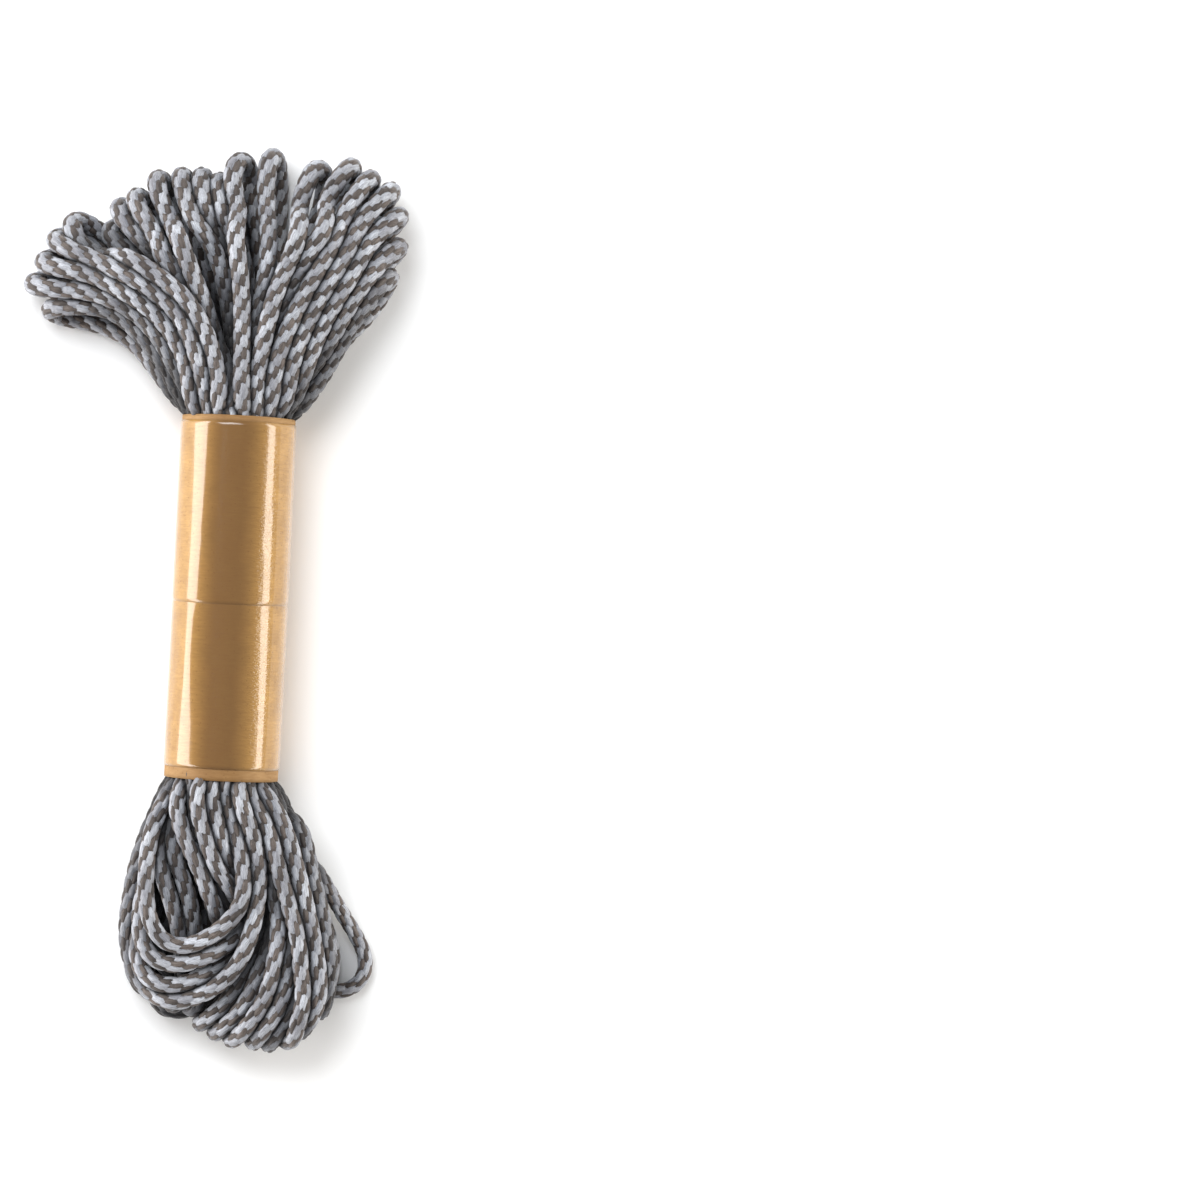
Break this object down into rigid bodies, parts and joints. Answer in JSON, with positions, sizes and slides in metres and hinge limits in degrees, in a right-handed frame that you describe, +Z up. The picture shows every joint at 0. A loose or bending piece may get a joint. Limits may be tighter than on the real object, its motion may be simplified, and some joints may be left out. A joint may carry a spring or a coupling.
{
  "type": "skein of braided twine in a paper band",
  "caption": "Hank of soft two-tone braided twine, its loops fanned out above and gathered below a snug kraft paper band sealed with clear tape.",
  "frame": {"origin": "on the surface that the skein lies on, under the middle of its overall length and width", "axes": "+Y runs up the skein from the gathered end to the fan, +X to the right seen from above, +Z up from the surface through the band"},
  "size_m": [0.0496, 0.12, 0.0146],
  "materials": {
    "twine": "matte",
    "kraft_paper": "matte",
    "clear_tape": "gloss"
  },
  "bodies": {
    "root": {"hank": "twine", "band": "kraft_paper", "tape_upper": "clear_tape", "tape_lower": "clear_tape"}
  },
  "joints": []
}
